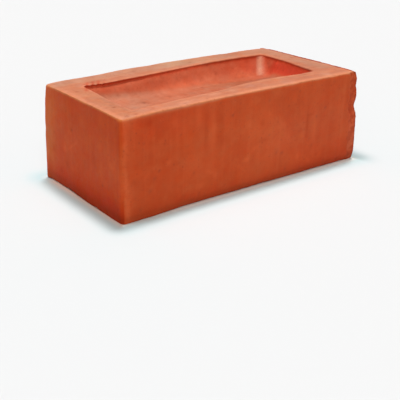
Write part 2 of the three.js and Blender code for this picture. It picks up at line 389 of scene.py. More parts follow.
# ------------------------------------------------------------------ the whole surface: slight waviness, grain, pits
nrm = normals(v)
disp = 0.20 * big.fbm(v / 46.0, 3) * skin
disp += 0.05 * fine.fbm(v / 3.0, 2) + 0.07 * mid.fbm(v / 8.0, 2)
disp += 0.05 * fine.fbm(v / (2.6, 2.6, 38.0), 2) * side * (1 - torn)       # drawn up the sides
disp += 0.09 * fine.fbm(v / (40.0, 4.2, 9.0), 2) * (upper | floor_)         # struck off lengthwise
disp -= 0.20 * skin * np.clip(1 - 0.9 * np.exp(-np.linalg.norm(flat - (-HALF_L, -HALF_W, 0), axis=1) / 22.0), 0, 1)
# the pits are dented here, and painted darker below as shade in them
pit_shade = np.zeros(len(v))
PITS = [(-103.9, -29.6, 76, 1.3, 0.7), (-54.7, 8.2, 61, 1.8, 0.5), (-107.6, -51.8, 75.4, 1.2, 0.45), (-100.5, -51.5, 75.6, 1.1, 0.3),
        (-41.0, 44.5, 76, 1.1, 0.4), (60.0, -45.5, 76, 0.9, 0.3), (101.0, 12.0, 76, 1.5, 0.6), (-106.0, 18.0, 76, 1.0, 0.3), (14.0, 43.0, 76, 1.3, 0.4),
        (-20, -55, 61, 1.1, 0.35), (31, -55, 22, 1.2, 0.4), (-84, -55, 33, 1.0, 0.3), (76, -55, 51, 1.1, 0.3), (-115, 12, 50, 1.3, 0.45),
        (-115, -30, 21, 1.1, 0.3), (-58, 55, 40, 1.7, 0.7), (24, 55, 58, 1.3, 0.5), (70, 55, 18, 1.5, 0.6), (-12, 55, 12, 1.2, 0.5),
        (-30, 10, 61, 1.5, 0.4), (42, -6, 61, 1.3, 0.4), (8, 18, 61, 1.4, 0.35)]
for cx, cy, cz, wide, deep in PITS:
    g = np.exp(-(np.linalg.norm(v - (cx, cy, cz), axis=1) / wide) ** 2)
    pit_shade = np.maximum(pit_shade, g)
    disp -= deep * g
some = np.random.RandomState(5)
for _ in range(170):
    c = v[some.randint(0, len(v))]
    wide, deep = 0.8 + 0.8 * some.rand(), 0.10 + 0.22 * some.rand()
    at = np.abs(v - c).max(1) < 4 * wide
    g = np.zeros(len(v))
    g[at] = np.exp(-(np.linalg.norm(v[at] - c, axis=1) / wide) ** 2)
    pit_shade = np.maximum(pit_shade, 0.5 * g)
    disp -= deep * g
v += nrm * disp[:, None]

# paler along the beds' edges: worn clay, and a painted highlight along the arrises
edge_wear_and_highlight = np.exp(-(from_edge / np.where(upper, 3.2, 1.8)) ** 2) * (1 - 0.6 * torn)
# the smooth header's upright edges, rubbed
for cy in (-HALF_W, HALF_W):
    d = np.hypot(X + HALF_L, Y - cy)
    am = 0.35 * np.clip(mid(columns(cy, 0.0, Z / 9.0)) + 0.2, 0, 1) + 0.15 * np.clip(fine(flat / 3.0), 0, 1)
    g = np.exp(-(d / 3.2) ** 2) * skin * am * 0.6
    v[:, 0] += g
    v[:, 1] -= np.sign(cy) * g
# the top corners, knocked off a little
for cx, cy, much in ((-HALF_L, HALF_W, 0.35), (HALF_L, HALF_W, 0.8), (HALF_L, -HALF_W, 0.6)):
    g = much * np.exp(-(((X - cx) / 4.5) ** 2 + ((Y - cy) / 4.5) ** 2 + ((HEIGHT - Z) / 5.0) ** 2)) * skin
    v[:, 0] -= np.sign(cx) * g
    v[:, 1] -= np.sign(cy) * g
    v[:, 2] -= 0.5 * g
# paler down the near upright arris: worn clay, and a painted highlight
upright = hump(X, -112.0 + 1.5 * smooth(45.0, 12.0, Z), 2.4) * side * (Y < -50) * (0.75 + 0.5 * np.clip(mid(columns(1.0, 5.0, Z / 17.0)) + 0.3, 0, 1))
# paler along the frog's lip, most on the far side: worn clay, and a painted highlight
lip_wear_and_highlight = np.interp(dist, [0, 0.28, 0.75, 1.2], [0.6, 0.8, 0.5, 0.0]) * wall + upper * smooth(18.0, 20.8, dist) * 0.6
lip_wear_and_highlight = lip_wear_and_highlight * np.where(Y > 15, 1.0, 0.35)

# ------------------------------------------------------------------ the brick is not quite a box: its beds bow, and some corners lie in
u_, v_, w_ = (v[:, 0] + HALF_L) / (2 * HALF_L), (v[:, 1] + HALF_W) / (2 * HALF_W), np.clip(v[:, 2] / HEIGHT, 0, 1)
along = (2 * u_ - 1) ** 2
v[:, 0] += 1.31 * (1 - u_) * v_ * w_ - 0.42 * u_ * (1 - v_) * w_
v[:, 1] += -0.43 * (1 - u_) * v_ * w_ + 0.62 * u_ * (1 - v_) * w_
v[:, 2] += -0.74 * along * w_ + 0.15 * (1 - along) * (1 - w_) + (1 - u_) * v_ * (0.23 * (1 - w_) - 0.17 * w_)
v[:, 2] -= 0.42 * smooth(-55.0, -95.0, X) * v_ * w_
v[:, 0] += 0.45 * (1 - u_) * v_ * smooth(0.35, 0.85, w_)
v[:, 2] -= 0.5 * np.exp(-(((X + HALF_L) ** 2 + (Y + HALF_W) ** 2) / 24.0 ** 2)) * w_
far_corner = hump(X, -HALF_L, 13.0) * hump(Y, HALF_W, 16.0)
v[:, 0] += 1.15 * far_corner * hump(Z, HEIGHT, 11.0)
v[:, 2] -= (0.75 * far_corner + 0.5 * hump(X, -66.0, 15.0) * smooth(20.0, 50.0, Y) + 0.35 * smooth(85.0, 110.0, X) * smooth(-20.0, 10.0, Y)) * w_
# the front and the smooth header draw in a little at the foot
foot_in = np.where(side, np.clip(1 - Z / 10.0, 0, 1) ** 2, lower * smooth(9.0, 0.0, dist))
v[:, 1] += 2.0 * foot_in * smooth(-92.0, -55.0, X) * (Y < 0)
v[:, 0] += 1.5 * foot_in * smooth(-15.0, 25.0, Y) * smooth(55.0, 43.0, Y) * smooth(-100.0, -108.0, X)
v[:, 2] += 0.45 * hump(X, -91.0, 9.0) * hump(Y, 28.0, 8.0) * (kind >= UPPER)
v[:, 0] = np.clip(v[:, 0], -HALF_L, HALF_L)
v[:, 1] = np.clip(v[:, 1], -HALF_W, HALF_W)
v[:, 2] = np.clip(v[:, 2], 0.0, HEIGHT)

# ------------------------------------------------------------------ masks for the material
over_edge = 2.0 + 1.3 * smooth(-25.0, -50.0, X) * (Y < -50) + 0.5 * mid.fbm(flat / 7.0 + 4.0, 2)
bed = np.maximum(upper * 1.0, side * smooth(over_edge, 0.2, np.where(top_half, dz, 9.0))) * (1 - 0.8 * torn)
bed = np.maximum(bed, wall * smooth(1.5, 0.7, dist))
# the far wall's colour runs on over the hollow below it, further towards the torn end
foot_line = np.interp(X, (-95, -70, 10, 34, 58, 86), (29.0, 27.0, 24.5, 19.5, 15.5, 13.0))
foot_dist = np.interp(X, (-92, -80, -60, -20), (3.6, 5.8, 7.5, 10.0))
frog_floor = (floor_ + wall * smooth(foot_dist, foot_dist + 4.6, dist)) * smooth(foot_line + 3.0, foot_line - 4.0, Y)
frog_wall = np.clip(wall * smooth(0.8, 1.6, dist) + floor_ - frog_floor, 0, 1)
# painted shade: a dark red band under the frog's overhanging lip
lip_shade_and_ticks = np.interp(dist, [0.0, 0.5, 1.1, 2.1, 2.9, 3.9], [0.0, 0.15, 0.8, 1.0, 0.6, 0.0]) * wall * (1 - 0.45 * comb * (dist < 2.0))
# short red ticks above the far lip, between the clay that was dragged over it
ticks = np.zeros(len(v))
for cx, am in ((-91.9, 0.85), (-87.1, 0.9), (-82.4, 0.9), (-77.4, 0.35)):
    ticks = np.maximum(ticks, am * hump(X - 0.6 * (Y - FROG_BACK[0]), cx, 1.15))
ticks *= 0.95 * far_side * np.where(upper, smooth(13.0, 17.0, dist), wall * (dist < 1.0))
ticks = np.maximum(ticks, 0.75 * far_side * upper * hump(X, -91.5, 3.0) * smooth(18.3, 20.2, dist))
lip_shade_and_ticks = np.maximum(lip_shade_and_ticks, ticks)
# painted shade: darker in the deepest hollows of the torn header
torn_hollow_shade = np.clip((depth - 3.4) / 2.5, 0, 1) * end_face * smooth(0.0, 5.0, HEIGHT - Z)
# a pale streak down the far right corner of the frog
sx, sy = X - 82.8, Y - 31.6
lean = sx * 0.766 - sy * 0.643
inner_corner = (wall | floor_) * (X > 66) * (Y > 14) * np.interp(lean, (-4.2, -2.9, -1.6, 0.4, 1.5, 4.4), (0.0, 0.55, 0.95, 1.0, 0.55, 0.0)) * smooth(0.9, 1.8, dist) * smooth(19.5, 23.5, Y + 0.25 * (X - 70))
pale = np.maximum.reduce([
    0.88 * inner_corner,
    0.95 * hump(X, 81.5, 2.6) * hump(Y, -48.6, 2.0) * upper,
    0.75 * np.exp(-(((X + 29) / 6.0) ** 2 + ((Y + 44.5) / 2.6) ** 2)) * upper,
    0.60 * np.exp(-(((X + 57) / 8.0) ** 2 + ((Y + 49.0) / 2.2) ** 2)) * upper,
    0.45 * np.exp(-(((X + 14) / 8.0) ** 2 + ((Y + 45.5) / 2.4) ** 2)) * upper,
])
deep = np.maximum.reduce([
    wall * (X > 60) * smooth(0.8, 2.0, dist) * smooth(14.9, 11.0, dist) * (1 - inner_corner) * smooth(24.0, 14.0, Y),
    0.35 * (wall | floor_) * smooth(5.0, 55.0, X) * smooth(1.0, 3.0, np.where(floor_, 9.0, dist)) * smooth(14.0, 9.0, np.where(floor_, 15.0, dist)) * (1 - inner_corner) * smooth(foot_line - 3.0, foot_line + 4.0, Y),
])
# dust: on the frog's floor by the smooth header, and on the far and right rims
n_big = mid.fbm(columns(X / 17.0, Y / 17.0, Z / 17.0), 3)
dusty = np.clip(np.maximum.reduce([
    frog_floor * smooth(-25.0, -70.0, X) * (0.60 + 0.5 * n_big),
    0.6 * floor_ * smooth(-30.0, 10.0, X) * smooth(80.0, 65.0, X) * smooth(foot_line - 6.0, foot_line - 14.0, Y) * smooth(-0.25, 0.35, n_big),
    upper * (0.35 + 0.65 * smooth(60.0, 90.0, X)) * smooth(25.0, 38.0, Y),
    upper * smooth(84.0, 96.0, X) * smooth(-42.0, -30.0, Y),
    0.40 * upper * smooth(-90.0, -96.0, X) * smooth(-111.0, -107.0, X),
]), 0, 1)
# painted shade: darker and redder towards the foot, most on the smooth header; the same tint, a little, near that
# header's top
foot = side * np.where(X < -113.5, smooth(24.0, 3.0, Z) + 0.18 * smooth(55.0, 75.0, Z), 0.40 * smooth(15.0, 2.0, Z))
saffron = 0.35 * hump(Y, 46.0, 10.0) * side * (X < -111) + 0.2 * hump(Y, 30.0, 16.0) * side * (X < -111) * smooth(30.0, 55.0, Z)

# lighter and darker scuffs and drag marks: along, up, half length, half height, slant in degrees, how much
FRONT_MARKS = [(-38, 52, 2.5, 15, 0, .14), (-44, 53, 1.5, 14, 0, -.12), (-31, 52, 3, 15, 0, -.10), (-51, 64, 2, 7, 0, .12),
               (-72, 65, 1.5, 4, 0, .10), (-25, 61, 2, 8, 0, .09), (-92, 69, 4, 2.5, 15, -.16), (-77, 37, 2, 1.5, 0, .18), (-80, 37, 1, 2, 0, -.12),
               (-69, 35, 3, 1.5, 0, -.13), (-94, 32, 3, 1.2, 35, .10), (-106, 29, 2.5, 2, 0, -.14), (-40, 22, 3, 1, -20, .14), (-35, 18, 1.5, 2.5, 0, .14),
               (-49, 13, 2.5, 2.5, 0, .10), (-64, 8, 2, 1.5, 0, -.15), (42, 63, 2, 4, 0, .12), (57, 42, 1.2, 8, 0, -.20), (60, 48, 3, 1, 0, -.12),
               (65, 34, 2, 13, 0, .12), (51, 32, 3, 2, 0, .12), (51, 37, 4, 1.2, 0, -.08), (48, 16, 1.5, 2.5, 0, .18), (60, 10, 3, 1.5, -35, .14),
               (69, 13, 4, 3, 0, .12), (69, 13, 1.5, 1, 0, -.20), (-6, 24, 2.5, 1.5, 0, .20), (2, 31, 2.5, 1.5, 20, .12), (15, 30, 2.5, 1.3, -20, .10),
               (10, 36, 4.5, 1.2, 0, -.12), (-5, 52, 2, 3, 0, .10), (9, 50, 2, 2.5, 0, -.10)]
HEADER_MARKS = [(13, 37, 7, 1, -35, .12), (23, 33, 2, 2.5, 0, .14), (-3, 61, 3, 3, 0, .10), (28, 52, 2, 5, 0, .08), (40, 29, 3, 3, 0, -.12),
                (20, 22, 2.5, 2.5, 0, -.14), (29, 14, 2, 2, 0, -.12), (-20, 36, 3.5, 4, 0, -.08), (-38, 50, 3, 6, 0, .07), (-52, 60, 1.5, 14, 0, -.12)]
scuffs = np.random.RandomState(8)
BACK_MARKS = [(scuffs.uniform(-100, 100), scuffs.uniform(8, 68), scuffs.uniform(1.2, 3.5), scuffs.uniform(1.2, 9), scuffs.uniform(-15, 15),
               scuffs.choice((-1, 1)) * scuffs.uniform(.07, .17)) for _ in range(34)]
tone = np.zeros(len(v))


def marks(listed, along, mask):
    t = np.zeros(len(v))
    for c1, c2, s1, s2, slant, much in listed:
        ca, sa = math.cos(math.radians(slant)), math.sin(math.radians(slant))
        p1, p2 = along - c1, Z - c2
        e = ((p1 * ca + p2 * sa) / s1) ** 2 + ((p2 * ca - p1 * sa) / s2) ** 2
        t += much * np.exp(-0.7 * e)
    return t * mask


tone += marks(FRONT_MARKS, X, side & (Y < -HALF_W + 0.5)) + marks(HEADER_MARKS, Y, side & (X < -HALF_L + 0.5))
tone += marks(BACK_MARKS, X, side & (Y > HALF_W - 0.5))
tone += side * (1 - torn) * 0.05 * fine.fbm(columns(X / 3.1, Y / 3.1, Z / 60.0), 2) * smooth(12.0, 45.0, Z)       # drag streaks
tone += side * 0.055 * mid.fbm(flat / (19.0, 19.0, 15.0) + 2.2, 3) + side * 0.05 * fine.fbm(flat / (5.2, 5.2, 4.6), 2)
tone += (upper | floor_ | wall) * (0.10 * mid.fbm(flat / (8.0, 6.0, 6.0) + 9.1, 3) + 0.10 * fine.fbm(flat / (3.6, 2.7, 3.2), 2))
tone += upper * 0.06 * np.clip(mid.fbm(flat / (13.0, 4.0, 5.0) + 1.7, 2), -1, 1)
tone -= 0.16 * (wall | floor_) * smooth(0.0, 50.0, X) * (1 - inner_corner)
# painted shade: the whole smooth header a little darker
tone -= 0.10 * side * smooth(-111.5, -114.0, X)
tone += 0.06 * upper * smooth(-84.0, -94.0, X) * smooth(-10.0, 20.0, Y)
# painted shade: darker low on the stretchers towards the torn end
tone -= 0.07 * side * smooth(40.0, 100.0, X) * smooth(26.0, 6.0, Z)
# painted highlight: paler along the bed's outer edge, on the front side
tone += 0.09 * upper * np.clip(smooth(6.5, 2.0, dist), 0, 1) * (1 - torn) * (smooth(30.0, 0.0, Y))
tone -= 0.07 * upper * smooth(4.0, 6.0, dist) * smooth(-90.0, -100.0, X)
tone -= 0.08 * upper * smooth(-40.0, 0.0, X) * smooth(-30.0, -40.0, Y) * smooth(4.0, 6.0, dist)
# painted shade in the torn strip's deeper hollows, painted light on its proud lumps
tone -= 0.16 * torn * np.clip((rough - 0.75) / 0.8, 0, 1) * on_side
tone += 0.12 * torn * np.clip((0.55 - rough) / 0.5, 0, 1) * on_side
tone -= 0.10 * floor_ * np.exp(-(((X + 54.7) / 4.0) ** 2 + ((Y - 8.2) / 3.0) ** 2)) + 0.11 * frog_floor * np.exp(-(((X + 54.0) / 10.0) ** 2 + ((Y - 12.0) / 6.0) ** 2))
tone -= 0.20 * upper * np.exp(-(((X - 66.0) / 3.4) ** 2 + ((Y + 39.3) / 1.8) ** 2))
tone -= 0.14 * upper * np.exp(-(((X - 79.0) / 3.0) ** 2 + ((Y + 30.0) / 3.0) ** 2))
tone -= 0.10 * inner_corner
tone += 0.045 * side * hump(X, 35.0, 55.0) * hump(Z, 42.0, 30.0) + 0.02 * side
tone -= 0.06 * floor_ * smooth(-20.0, 20.0, X)
tone -= 0.20 * ticks
tone -= 0.12 * upper * hump(X, 62.0, 14.0) * smooth(40.0, 46.0, Y)
tone += 0.12 * side * (Y < -50) * hump(X, -107.0, 7.0) * hump(Z, 72.0, 5.0) + 0.05 * side * (Y < -50) * smooth(-100.0, -109.0, X) * smooth(40.0, 25.0, Z)
tone += 0.05 * side * (Y < -50) * hump(X, 18.0, 26.0) * hump(Z, 40.0, 20.0)
tone += side * (X < -113) * (0.07 * hump(Y, -44.0, 8.0) * hump(Z, 36.0, 8.0) - 0.07 * hump(Y, -38.0, 14.0) * hump(Z, 12.0, 12.0))
tone -= 0.045 * (wall | floor_) * hump(X, 36.0, 20.0) * smooth(8.0, 18.0, Y) - 0.09 * wall * (Y > 15) * hump(X, 17.0, 14.0) * hump(dist, 5.0, 4.0) + 0.08 * frog_floor * smooth(-75.0, -88.0, X)
# painted shade: darker at the frog's near right corner, on wall and rim
tone -= 0.12 * (wall | upper) * np.exp(-(((X - 81.5) / 4.0) ** 2 + ((Y + 27.5) / 4.5) ** 2))
tone += 0.12 * deep * (X > 66) * (Y < 14) + 0.04 * upper * (Y < -35) - 0.05 * (wall | floor_) * hump(X, -45.0, 14.0) * smooth(5.0, 18.0, Y)
tone += torn * side * (Y < -50) * (0.07 + 0.08 * smooth(60.0, 45.0, Z))
tone += 0.045 * side * (Y < -50) * hump(X, 6.0, 28.0) * hump(Z, 34.0, 30.0) - 0.06 * side * (Y < -50) * hump(X, 46.0, 12.0) * hump(Z, 58.0, 16.0)
tone += side * (X < -113) * (0.05 * hump(Y, -40.0, 10.0) * hump(Z, 38.0, 10.0) + 0.10 * smooth(46.0, 53.0, Y) * smooth(5.0, 20.0, Z))
# a darker patch on the bed by the torn end, and a little painted shade under the lip at the frog's torn end
tone -= 0.09 * upper * hump(X, 92.0, 8.0) * hump(Y, -20.0, 14.0) + 0.02 * frog_wall * (dist < 4.5) * smooth(72.0, 80.0, X)
# brighter clay is paler and darker clay redder, with some drift of hue besides
flank = side * (1 - torn) * (1 - bed)
drift = (0.052 + 0.014 * flank) * (mid.fbm(flat / 5.5 + 20.0, 2) + big.fbm(flat / 12.0 + 3.0, 2)) * 1.6
tint = np.column_stack([1 + tone * (0.85 - 0.17 * flank) - 0.25 * drift, 1 + tone * (1.15 + 0.45 * flank) + drift, 1 + tone * (1.30 + 1.5 * flank) + (1.9 + 0.6 * flank) * drift])
header = side * (X < -113.5)
front = side * (Y < -54.0) * (1 - torn) * smooth(74.5, 71.0, Z)
far_rim = upper * smooth(36.0, 41.0, Y) * smooth(78.0, 46.0, X)
left_rim = upper * smooth(-96.0, -101.0, X) * smooth(45.0, 30.0, Y)
lower_far = (wall | floor_) * smooth(5.0, 25.0, X) * smooth(70.0, 50.0, X) * smooth(6.0, 14.0, Y)
# several of these, low on the smooth header and the front, are painted shade towards the foot
for mask, by in ((header * smooth(44.0, 58.0, Z), (1.0, 0.97, 0.70)), (header * smooth(24.0, 8.0, Z) * smooth(25.0, 10.0, Y), (0.98, 0.84, 0.25)),
                 (header * smooth(14.0, 3.0, Z), (0.90, 0.93, 0.9)), (front * smooth(-20.0, -70.0, X) * smooth(50.0, 64.0, Z), (1.02, 0.88, 0.82)),
                 (front * smooth(0.0, 40.0, X) * hump(Z, 38.0, 17.0), (1.0, 1.05, 1.28)), (front * smooth(30.0, 55.0, X) * smooth(28.0, 16.0, Z), (1.0, 0.87, 0.80)), (side * (Y < -50) * smooth(72.5, 74.2, Z), (1.07, 1.0, 0.82)), (far_rim, (0.97, 1.10, 1.15)),
                 (far_rim * hump(X, 8.0, 22.0), (1.0, 1.14, 1.12)), (left_rim * smooth(4.0, 7.0, dist), (1.04, 1.0, 0.92)), (lower_far, (0.98, 1.10, 1.12)),
                 ((wall | floor_) * hump(X, 30.0, 12.0) * hump(Y, -28.0, 9.0), (0.93, 1.08, 1.2)),
                 (torn * side * (Y < -50) * smooth(45.0, 20.0, Z), (1.0, 1.12, 1.30)),
                 # the first two: painted shade towards the foot of the front and the smooth header; the third: painted
                 # light, lifting the far end of the header's foot
                 (side * (Y < -50) * smooth(7.0, 3.0, Z), (0.88, 0.94, 1.0)), (header * smooth(10.0, 3.0, Z), (0.87, 1.0, 1.0)), (header * smooth(8.0, 2.0, Z) * smooth(0.0, 25.0, Y), (1.18, 1.22, 1.0)), (wall * (Y > 22) * hump(X, 57.0, 13.0), (1.02, 0.91, 0.82)),
                 (header * hump(Z, 40.0, 12.0) * smooth(35.0, 10.0, Y), (1.0, 1.10, 1.12)), (header * smooth(30.0, 48.0, Y), (0.99, 1.16, 1.16)), (header * smooth(30.0, 48.0, Y) * hump(Z, 38.0, 17.0), (0.99, 1.20, 1.24)),
                 (header * smooth(50.0, 62.0, Z) * smooth(40.0, 15.0, Y), (0.95, 0.98, 0.95)), ((wall | floor_) * hump(X, 70.0, 8.0) * hump(Y, 14.0, 8.0), (0.89, 1.08, 1.24))):
    tint *= 1 + np.asarray(mask)[:, None] * (np.array(by) - 1)
tint = np.clip(tint, 0.3, 1.7)

mesh = bpy.data.meshes.new("brick_body")
mesh.from_pydata((v * MM).tolist(), [], quads.tolist())
mesh.validate()
mesh.update()
for name, values in (("wear", edge_wear_and_highlight), ("upright", upright), ("lipwear_and_highlight", lip_wear_and_highlight), ("torn", torn), ("bed", bed), ("floor", frog_floor),
                     ("wall", frog_wall), ("lip", lip_shade_and_ticks), ("pit_shade", pit_shade), ("torn_hollow_shade", torn_hollow_shade), ("pale", pale), ("deep", deep), ("dusty", dusty),
                     ("foot", foot), ("saffron", saffron)):
    at = mesh.attributes.new(name, "FLOAT", "POINT")
    at.data.foreach_set("value", np.clip(values, 0, 1).astype(np.float32))
at = mesh.attributes.new("tint", "FLOAT_VECTOR", "POINT")
at.data.foreach_set("vector", tint.astype(np.float32).ravel())
mesh.polygons.foreach_set("use_smooth", np.ones(len(mesh.polygons), bool))
brick = bpy.data.objects.new("brick_body", mesh)
bpy.context.scene.collection.objects.link(brick)

# ------------------------------------------------------------------ fired clay
mat = bpy.data.materials.new("fired_clay")
mat.use_nodes = True
nt = mat.node_tree
nt.nodes.clear()


def node(kind_, **kw):
    n = nt.nodes.new(kind_)
    for k, val in kw.items():
        setattr(n, k, val)
    return n


def link(a, b):
    nt.links.new(a, b)


def attr(name):
    return node("ShaderNodeAttribute", attribute_type="GEOMETRY", attribute_name=name).outputs["Fac"]


coord = node("ShaderNodeTexCoord").outputs["Object"]


def mapped(scale):
    n = node("ShaderNodeMapping")
    n.inputs["Scale"].default_value = scale
    link(coord, n.inputs["Vector"])
    return n.outputs["Vector"]


def noise(scale, detail=3.0, rough=0.5, vector=None, distortion=0.0):
    n = node("ShaderNodeTexNoise")
    n.inputs["Scale"].default_value = scale
    n.inputs["Detail"].default_value = detail
    n.inputs["Roughness"].default_value = rough
    n.inputs["Distortion"].default_value = distortion
    link(vector or coord, n.inputs["Vector"])
    return n.outputs["Fac"]


def voronoi(scale, feature="F1", vector=None):
    n = node("ShaderNodeTexVoronoi", feature=feature)
    n.inputs["Scale"].default_value = scale
    link(vector or coord, n.inputs["Vector"])
    return n.outputs["Distance"]


def ramp(fac, lo, hi, a=0.0, b=1.0):
    n = node("ShaderNodeMapRange", interpolation_type="SMOOTHSTEP")
    for k, val in (("From Min", lo), ("From Max", hi), ("To Min", a), ("To Max", b)):
        n.inputs[k].default_value = val
    link(fac, n.inputs["Value"])
    return n.outputs["Result"]


def calc(op, a, b):
    n = node("ShaderNodeMath", operation=op)
    for k, val in enumerate((a, b)):
        if isinstance(val, (int, float)):
            n.inputs[k].default_value = val
        else:
            link(val, n.inputs[k])
    return n.outputs[0]


def mix(fac, a, b):
    n = node("ShaderNodeMix", data_type="RGBA")
    if isinstance(fac, (int, float)):
        n.inputs["Factor"].default_value = fac
    else:
        link(fac, n.inputs["Factor"])
    for sock, val in ((n.inputs[6], a), (n.inputs[7], b)):
        if isinstance(val, tuple):
            sock.default_value = (*val, 1.0)
        else:
            link(val, sock)
    return n.outputs[2]


blotch = noise(30.0, 4.0, 0.55)
spots = noise(78.0, 3.0, 0.55)
streaks = noise(1.0, 3.0, 0.55, mapped((260.0, 260.0, 9.0)))
drawn = noise(1.0, 3.0, 0.55, mapped((11.0, 330.0, 60.0)))
sand = noise(620.0, 3.0, 0.6)
dust = noise(1500.0, 2.0, 0.6)

# stretchers, headers and the lower bed
colour = mix(ramp(blotch, 0.34, 0.68), (0.545, 0.0675, 0.0128), (0.585, 0.0790, 0.0162))
colour = mix(ramp(spots, 0.46, 0.74, 0.0, 0.5), colour, (0.615, 0.0950, 0.0235))
colour = mix(ramp(streaks, 0.48, 0.78, 0.0, 0.35), colour, (0.630, 0.0980, 0.0245))
colour = mix(attr("saffron"), colour, (0.66, 0.135, 0.0420))
# frog
walls = mix(ramp(spots, 0.36, 0.72), (0.56, 0.108, 0.046), (0.62, 0.138, 0.062))
walls = mix(attr("deep"), walls, (0.67, 0.072, 0.032))
floors = mix(ramp(blotch, 0.36, 0.66), (0.475, 0.130, 0.064), (0.520, 0.152, 0.078))
floors = mix(ramp(drawn, 0.50, 0.75, 0.0, 0.45), floors, (0.56, 0.180, 0.094))
# the struck bed: paler clay, and paler still as a painted sheen
beds = mix(ramp(spots, 0.36, 0.68), (0.515, 0.172, 0.094), (0.560, 0.200, 0.107))
beds = mix(ramp(drawn, 0.46, 0.74, 0.0, 0.6), beds, (0.60, 0.225, 0.118))
beds = mix(ramp(noise(62.0, 3.0, 0.55), 0.50, 0.72, 0.0, 0.55), beds, (0.62, 0.185, 0.080))
beds = mix(ramp(noise(1.0, 3.0, 0.55, mapped((48.0, 96.0, 70.0))), 0.52, 0.72, 0.0, 0.5), beds, (0.54, 0.215, 0.145))
torns = mix(ramp(noise(190.0, 3.0, 0.6), 0.40, 0.66), (0.43, 0.054, 0.017), (0.55, 0.090, 0.031))
colour = mix(attr("wall"), colour, walls)
colour = mix(attr("floor"), colour, floors)
colour = mix(attr("bed"), colour, beds)
colour = mix(calc("MULTIPLY", attr("dusty"), ramp(spots, 0.25, 0.65, 0.6, 1.0)), colour, (0.500, 0.215, 0.128))
colour = mix(calc("MULTIPLY", attr("torn"), 0.85), colour, torns)
# paler along the edges: worn clay, and a painted highlight along the arrises
rubbed = ramp(noise(150.0, 3.0, 0.6), 0.34, 0.60, 0.35, 1.0)
colour = mix(calc("MULTIPLY", calc("MULTIPLY", attr("wear"), attr("bed")), rubbed), colour, (0.575, 0.232, 0.122))
colour = mix(calc("MULTIPLY", calc("MULTIPLY", attr("wear"), 0.30), rubbed), colour, (0.66, 0.145, 0.055))
# paler down the near upright arris: worn clay, and a painted highlight
colour = mix(calc("MULTIPLY", calc("MULTIPLY", attr("upright"), 0.72), rubbed), colour, (0.70, 0.125, 0.034))
# paler along the frog's lip: worn clay, and a painted highlight
colour = mix(calc("MULTIPLY", calc("MULTIPLY", attr("lipwear_and_highlight"), 0.8), rubbed), colour, (0.70, 0.240, 0.125))
# painted shade under the frog's lip, and the red ticks above it
colour = mix(calc("MULTIPLY", attr("lip"), 0.80), colour, (0.62, 0.070, 0.022))
colour = mix(calc("MULTIPLY", attr("pale"), ramp(spots, 0.25, 0.60, 0.75, 1.0)), colour, (0.66, 0.275, 0.168))
# painted shade: darker in the pits
colour = mix(calc("MULTIPLY", attr("pit_shade"), 0.6), colour, (0.27, 0.050, 0.024))
# painted shade: darker in the deepest hollows of the torn header
colour = mix(calc("MULTIPLY", attr("torn_hollow_shade"), 0.6), colour, (0.27, 0.038, 0.014))
colour = mix(ramp(sand, 0.30, 0.44, 0.28, 0.0), colour, (0.34, 0.045, 0.016))
colour = mix(ramp(sand, 0.60, 0.76, 0.0, 0.22), colour, (0.62, 0.150, 0.065))
# painted shade: darker and redder towards the foot
foot_shade_tint = node("ShaderNodeMix", data_type="RGBA", blend_type="MULTIPLY")
link(attr("foot"), foot_shade_tint.inputs["Factor"])
link(colour, foot_shade_tint.inputs[6])
foot_shade_tint.inputs[7].default_value = (0.93, 0.54, 0.34, 1.0)
tinted = node("ShaderNodeVectorMath", operation="MULTIPLY")
link(foot_shade_tint.outputs[2], tinted.inputs[0])
link(node("ShaderNodeAttribute", attribute_type="GEOMETRY", attribute_name="tint").outputs["Vector"], tinted.inputs[1])
colour = tinted.outputs[0]
specks = calc("MULTIPLY", ramp(voronoi(210.0), 0.10, 0.20, 0.35, 0.0), ramp(noise(40.0), 0.52, 0.62))
colour = mix(specks, colour, (0.33, 0.045, 0.018))

bsdf = node("ShaderNodeBsdfPrincipled")
link(colour, bsdf.inputs["Base Color"])
bsdf.inputs["Specular IOR Level"].default_value = 0.12
gloss = calc("ADD", ramp(sand, 0.3, 0.7, 0.58, 0.72), ramp(spots, 0.3, 0.7, -0.05, 0.05))
link(calc("ADD", gloss, calc("MULTIPLY", attr("torn"), 0.18)), bsdf.inputs["Roughness"])

relief = calc("ADD", calc("MULTIPLY", sand, 0.00010), calc("MULTIPLY", dust, 0.00004))
relief = calc("ADD", relief, calc("MULTIPLY", calc("MULTIPLY", drawn, calc("MAXIMUM", attr("bed"), attr("floor"))), 0.00022))
relief = calc("ADD", relief, calc("MULTIPLY", streaks, 0.00006))
relief = calc("ADD", relief, calc("MULTIPLY", ramp(voronoi(340.0), 0.0, 0.32), 0.00006))
relief = calc("ADD", relief, calc("MULTIPLY", calc("MULTIPLY", noise(420.0, 4.0, 0.65), attr("torn")), 0.0007))
bump = node("ShaderNodeBump")
bump.inputs["Strength"].default_value = 0.8
bump.inputs["Distance"].default_value = 1.0
link(relief, bump.inputs["Height"])
link(bump.outputs["Normal"], bsdf.inputs["Normal"])
link(bsdf.outputs["BSDF"], node("ShaderNodeOutputMaterial").inputs["Surface"])
mesh.materials.append(mat)

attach(brick, "root")
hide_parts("brick")

